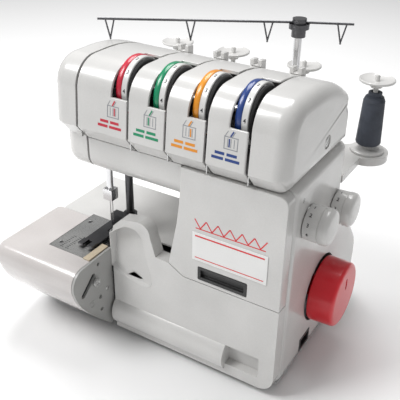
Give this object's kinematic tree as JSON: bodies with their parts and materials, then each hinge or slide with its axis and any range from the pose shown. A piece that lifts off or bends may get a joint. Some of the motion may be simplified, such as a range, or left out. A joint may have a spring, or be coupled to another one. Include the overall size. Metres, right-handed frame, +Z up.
{
  "type": "serger overlock machine",
  "caption": "Free-arm overlock sewing machine with tension dials, hinged front cover, swing-out cloth plate, handwheel, spool stand and telescopic thread mast.",
  "frame": {"origin": "centre of the footprint's box, on the table", "axes": "+X towards the handwheel side, +Y away from the operator, +Z up"},
  "size_m": [0.328, 0.277, 0.316],
  "materials": {
    "white_cover": "glossy",
    "cloth_plate": "glossy",
    "tray_grey": "matte",
    "grey_plate": "satin",
    "steel": "brushed",
    "chrome": "polished",
    "dark_steel": "satin",
    "black_plastic": "matte",
    "red_plastic": "glossy",
    "rubber": "matte",
    "frame_metal": "cast",
    "bronze": "satin",
    "beige": "satin",
    "thread": "matte",
    "dial_red": "glossy",
    "dial_green": "glossy",
    "dial_orange": "glossy",
    "dial_navy": "glossy",
    "label": "satin"
  },
  "bodies": {
    "machine": {"base_tray": "tray_grey", "rubber_feet": "rubber", "machine_frame": "frame_metal", "bed_housing": "white_cover", "column_housing": "white_cover", "upper_front_panel": "white_cover", "label_plate": "label", "looper_window": "black_plastic", "hinge_pins": "steel", "end_plate": "grey_plate", "end_plate_screws": "steel", "needle_plate": "steel", "seam_guard": "beige", "head_rear_cover": "white_cover", "left_head_cap": "white_cover", "right_head_shoulder": "white_cover", "tension_panel_1": "white_cover", "tension_panel_2": "white_cover", "tension_panel_3": "white_cover", "tension_panel_4": "white_cover", "dial_spindle": "steel", "tension_discs": "steel", "thread_slot_guides": "steel", "rear_thread_clips": "white_cover", "lower_knife": "steel", "column_peg": "white_cover", "shaft_bearings": "bronze", "motor": "dark_steel", "drive_belt": "rubber", "power_inlet": "black_plastic", "spool_stand": "white_cover", "spool_pins": "white_cover", "thread_spool": "thread", "mast_tube": "chrome"},
    "front_cover_body": {"front_cover": "white_cover"},
    "cloth_plate_body": {"cloth_plate_cover": "cloth_plate"},
    "width_lever_body": {"width_lever": "steel"},
    "dial_1_body": {"tension_dial_1": "dial_red"},
    "dial_2_body": {"tension_dial_2": "dial_green"},
    "dial_3_body": {"tension_dial_3": "dial_orange"},
    "dial_4_body": {"tension_dial_4": "dial_navy"},
    "needle_body": {"needle_bar": "chrome", "needles": "chrome"},
    "presser_body": {"presser_bar": "dark_steel", "presser_foot": "dark_steel"},
    "lifter_body": {"presser_lifter": "dark_steel"},
    "upper_knife_body": {"upper_knife": "steel"},
    "upper_looper_body": {"upper_looper": "steel"},
    "lower_looper_body": {"lower_looper": "steel"},
    "feed_body": {"feed_dogs": "dark_steel"},
    "drive_body": {"main_shaft": "steel", "shaft_pulley": "dark_steel", "handwheel": "red_plastic"},
    "motor_rotor": {"motor_pulley": "steel"},
    "stitch_length_body": {"stitch_length_knob": "white_cover"},
    "differential_body": {"differential_knob": "white_cover"},
    "switch_body": {"power_switch": "black_plastic"},
    "mast_middle_body": {"mast_middle": "chrome"},
    "mast_top_body": {"mast_top": "chrome"},
    "thread_guide_body": {"thread_guide": "dark_steel"}
  },
  "joints": [
    {"name": "front_cover_tilt", "type": "hinge", "parent": "machine", "child": "front_cover_body", "pos_m": [0.036, -0.0715, 0.014], "axis": [1, 0, 0], "range_deg": [0, 70]},
    {"name": "cloth_plate_swing", "type": "hinge", "parent": "machine", "child": "cloth_plate_body", "pos_m": [-0.15, -0.045, 0.05], "axis": [0, 0, -1], "range_deg": [0, 85]},
    {"name": "width_lever_turn", "type": "hinge", "parent": "machine", "child": "width_lever_body", "pos_m": [-0.049, -0.0995, 0.066], "axis": [1, 0, 0], "range_deg": [-25, 30]},
    {"name": "tension_dial_1_turn", "type": "hinge", "parent": "machine", "child": "dial_1_body", "pos_m": [0.036, -0.0545, 0.275], "axis": [1, 0, 0], "range_deg": [-135, 135]},
    {"name": "tension_dial_2_turn", "type": "hinge", "parent": "machine", "child": "dial_2_body", "pos_m": [0.036, -0.0545, 0.275], "axis": [1, 0, 0], "range_deg": [-135, 135]},
    {"name": "tension_dial_3_turn", "type": "hinge", "parent": "machine", "child": "dial_3_body", "pos_m": [0.036, -0.0545, 0.275], "axis": [1, 0, 0], "range_deg": [-135, 135]},
    {"name": "tension_dial_4_turn", "type": "hinge", "parent": "machine", "child": "dial_4_body", "pos_m": [0.036, -0.0545, 0.275], "axis": [1, 0, 0], "range_deg": [-135, 135]},
    {"name": "needle_bar_stroke", "type": "slide", "parent": "machine", "child": "needle_body", "axis": [0, 0, 1], "range_m": [-0.024, 0]},
    {"name": "presser_bar_lift", "type": "slide", "parent": "machine", "child": "presser_body", "axis": [0, 0, 1], "range_m": [0, 0.006]},
    {"name": "lifter_turn", "type": "hinge", "parent": "machine", "child": "lifter_body", "pos_m": [-0.029, 0.0225, 0.194], "axis": [1, 0, 0], "range_deg": [0, 20.5]},
    {"name": "upper_knife_swing", "type": "hinge", "parent": "machine", "child": "upper_knife_body", "pos_m": [-0.059, -0.0895, 0.062], "axis": [1, 0, 0], "range_deg": [0, 8]},
    {"name": "upper_looper_travel", "type": "slide", "parent": "machine", "child": "upper_looper_body", "axis": [-0.5446, 0, 0.8387], "range_m": [-0.014, 0]},
    {"name": "lower_looper_swing", "type": "hinge", "parent": "machine", "child": "lower_looper_body", "pos_m": [-0.032, -0.0515, 0.038], "axis": [0, 1, 0], "range_deg": [0, 14]},
    {"name": "feed_travel", "type": "slide", "parent": "machine", "child": "feed_body", "axis": [0, 1, 0], "range_m": [-0.002, 0]},
    {"name": "handwheel_turn", "type": "hinge", "parent": "machine", "child": "drive_body", "pos_m": [0.136, 0.0165, 0.073], "axis": [1, 0, 0], "continuous": true},
    {"name": "motor_turn", "type": "hinge", "parent": "machine", "child": "motor_rotor", "pos_m": [0.076, 0.0835, 0.05], "axis": [1, 0, 0], "continuous": true},
    {"name": "stitch_length_turn", "type": "hinge", "parent": "machine", "child": "stitch_length_body", "pos_m": [0.146, -0.0345, 0.177], "axis": [1, 0, 0], "range_deg": [-120, 120]},
    {"name": "differential_turn", "type": "hinge", "parent": "machine", "child": "differential_body", "pos_m": [0.146, 0.0335, 0.16], "axis": [1, 0, 0], "range_deg": [-80, 80]},
    {"name": "switch_press", "type": "slide", "parent": "machine", "child": "switch_body", "axis": [1, 0, 0], "range_m": [-0.002, 0], "stiffness_N_per_m": 400},
    {"name": "mast_middle_rise", "type": "slide", "parent": "machine", "child": "mast_middle_body", "axis": [0, 0, 1], "range_m": [0, 0.095]},
    {"name": "mast_top_rise", "type": "slide", "parent": "mast_middle_body", "child": "mast_top_body", "axis": [0, 0, 1], "range_m": [0, 0.095]},
    {"name": "thread_guide_swivel", "type": "hinge", "parent": "mast_top_body", "child": "thread_guide_body", "pos_m": [0.058, 0.0915, 0.3], "axis": [0, 0, 1], "range_deg": [-35, 0]}
  ],
  "couplings": [
    {"joint": "motor_turn", "follows": "handwheel_turn", "ratio": 3.75},
    {"joint": "lifter_turn", "follows": "presser_bar_lift", "rad_per_m": 58.178},
    {"joint": "lower_looper_swing", "follows": "needle_bar_stroke", "rad_per_m": -10.108},
    {"joint": "upper_looper_travel", "follows": "needle_bar_stroke", "ratio": 0.58},
    {"joint": "upper_knife_swing", "follows": "needle_bar_stroke", "rad_per_m": -5.745},
    {"joint": "feed_travel", "follows": "needle_bar_stroke", "ratio": 0.083}
  ]
}
